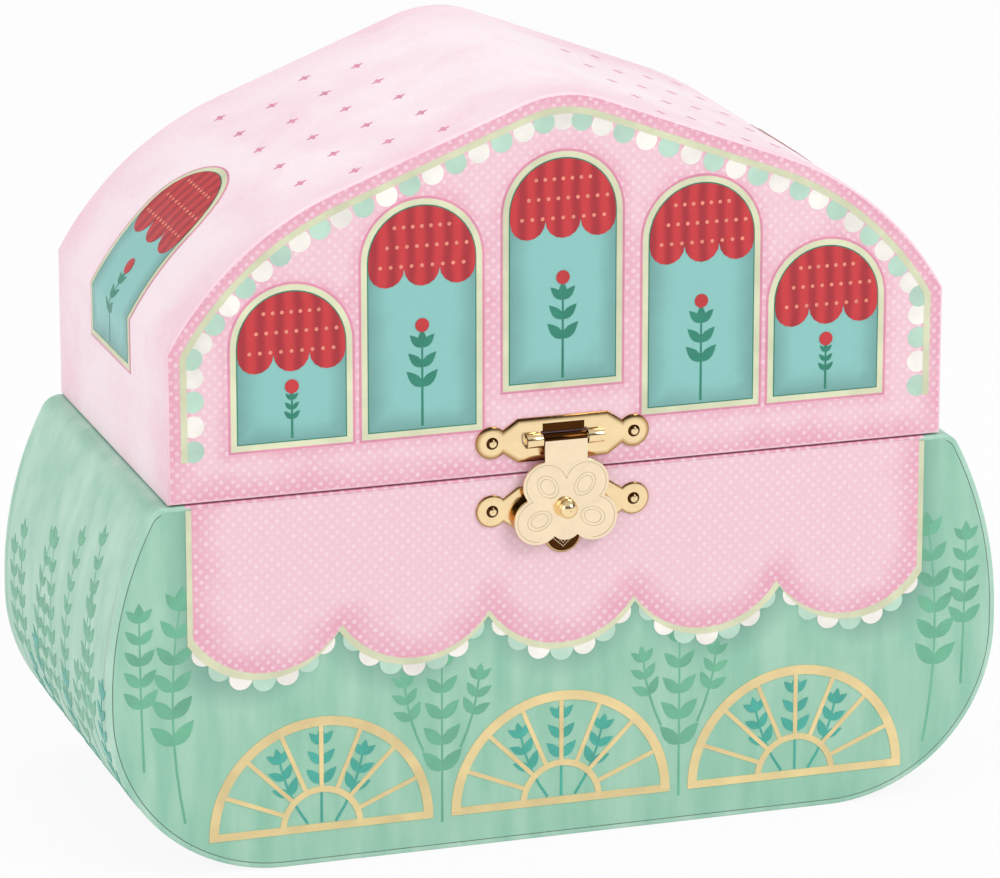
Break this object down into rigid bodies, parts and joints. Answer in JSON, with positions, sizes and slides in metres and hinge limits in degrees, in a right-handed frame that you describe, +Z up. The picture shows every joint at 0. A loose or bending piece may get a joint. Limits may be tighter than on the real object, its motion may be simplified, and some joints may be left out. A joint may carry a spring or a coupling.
{
  "type": "ballerina jewellery box",
  "caption": "Carriage-shaped jewellery box with hinged lid and brass flower clasp; a clockwork movement wound by a key at the back turns a dancer on a spring.",
  "frame": {"origin": "middle of the flat underside, on the table", "axes": "+X to the right along the width, +Y to the back with the hinges and key, +Z up"},
  "size_m": [0.194, 0.1104, 0.159],
  "materials": {
    "mint_print": "satin",
    "pink_print": "satin",
    "lining": "matte",
    "mirror": "polished",
    "brass": "polished",
    "steel": "satin",
    "cast": "satin",
    "felt": "matte",
    "figure": "satin",
    "skirt": "satin"
  },
  "bodies": {
    "base": {"base_front_panel": "mint_print", "base_back_panel": "mint_print", "base_floor": "mint_print", "base_side_left": "mint_print", "base_side_right": "mint_print", "divider_left": "lining", "divider_right": "lining", "tray_floor_left": "lining", "tray_floor_right": "lining", "tray_floor_front": "lining", "bay_front_wall": "lining", "stage": "lining", "stage_bush": "brass", "keeper_plate": "brass", "keeper_nails": "brass", "hinge_base_leaf_left": "brass", "hinge_base_leaf_right": "brass", "hinge_base_nails": "brass", "hinge_pin_left": "steel", "hinge_pin_right": "steel", "movement_frame": "cast", "movement_screws": "steel", "comb": "steel", "comb_screws": "steel", "spring_housing": "steel", "worm_bracket": "steel", "spindle_bracket": "steel"},
    "lid": {"lid_front_panel": "pink_print", "lid_back_panel": "pink_print", "lid_roof": "pink_print", "mirror_board": "lining", "mirror": "mirror", "clasp_plate": "brass", "clasp_pin": "brass", "clasp_nails": "brass", "hinge_lid_leaf_left": "brass", "hinge_lid_leaf_right": "brass", "hinge_lid_nails": "brass", "lid_block": "lining"},
    "flap": {"clasp_flap": "brass", "clasp_ball": "brass"},
    "winder": {"winding_key": "steel", "winding_arbor": "steel", "crown_wheel": "brass"},
    "cylinder": {"music_cylinder": "brass", "cylinder_arbor": "steel", "cylinder_pinion": "brass"},
    "governor": {"governor_arbor": "steel", "governor_pinion": "brass", "worm_wheel": "brass"},
    "fan": {"fan_worm": "steel", "air_fan": "cast"},
    "dancer": {"dancer_spindle": "steel", "dancer_pinion": "brass", "dancer_spring": "steel", "dancer_figure": "figure", "dancer_skirt": "skirt"},
    "stop": {"push_rod": "steel", "brake_pad": "felt"}
  },
  "joints": [
    {"name": "lid_hinge", "type": "hinge", "parent": "base", "child": "lid", "pos_m": [0, 0.0459, 0.0798], "axis": [-1, 0, 0], "range_deg": [0, 100]},
    {"name": "flap_hinge", "type": "hinge", "parent": "lid", "child": "flap", "pos_m": [0, -0.0455, 0.087], "axis": [-1, 0, 0], "range_deg": [0, 140]},
    {"name": "winder_turn", "type": "hinge", "parent": "base", "child": "winder", "pos_m": [0, 0.044, 0.032], "axis": [0, 1, 0], "continuous": true},
    {"name": "cylinder_spin", "type": "hinge", "parent": "base", "child": "cylinder", "pos_m": [0.02, 0.0197, 0.032], "axis": [1, 0, 0], "continuous": true},
    {"name": "governor_spin", "type": "hinge", "parent": "base", "child": "governor", "pos_m": [-0.02, 0.0197, 0.032], "axis": [1, 0, 0], "continuous": true},
    {"name": "fan_spin", "type": "hinge", "parent": "base", "child": "fan", "pos_m": [-0.02, 0.0125, 0.032], "axis": [0, 0, 1], "continuous": true},
    {"name": "dancer_spin", "type": "hinge", "parent": "base", "child": "dancer", "pos_m": [0, 0.0197, 0.0416], "axis": [0, 0, 1], "continuous": true},
    {"name": "stop_slide", "type": "slide", "parent": "base", "child": "stop", "axis": [0, 0, 1], "range_m": [0, 0.003]}
  ],
  "couplings": [
    {"joint": "cylinder_spin", "follows": "winder_turn", "ratio": -3.2},
    {"joint": "governor_spin", "follows": "winder_turn", "ratio": 3.2},
    {"joint": "fan_spin", "follows": "winder_turn", "ratio": 57.6},
    {"joint": "dancer_spin", "follows": "winder_turn", "ratio": -3.2},
    {"joint": "stop_slide", "follows": "lid_hinge", "m_per_rad": 0.0017}
  ]
}
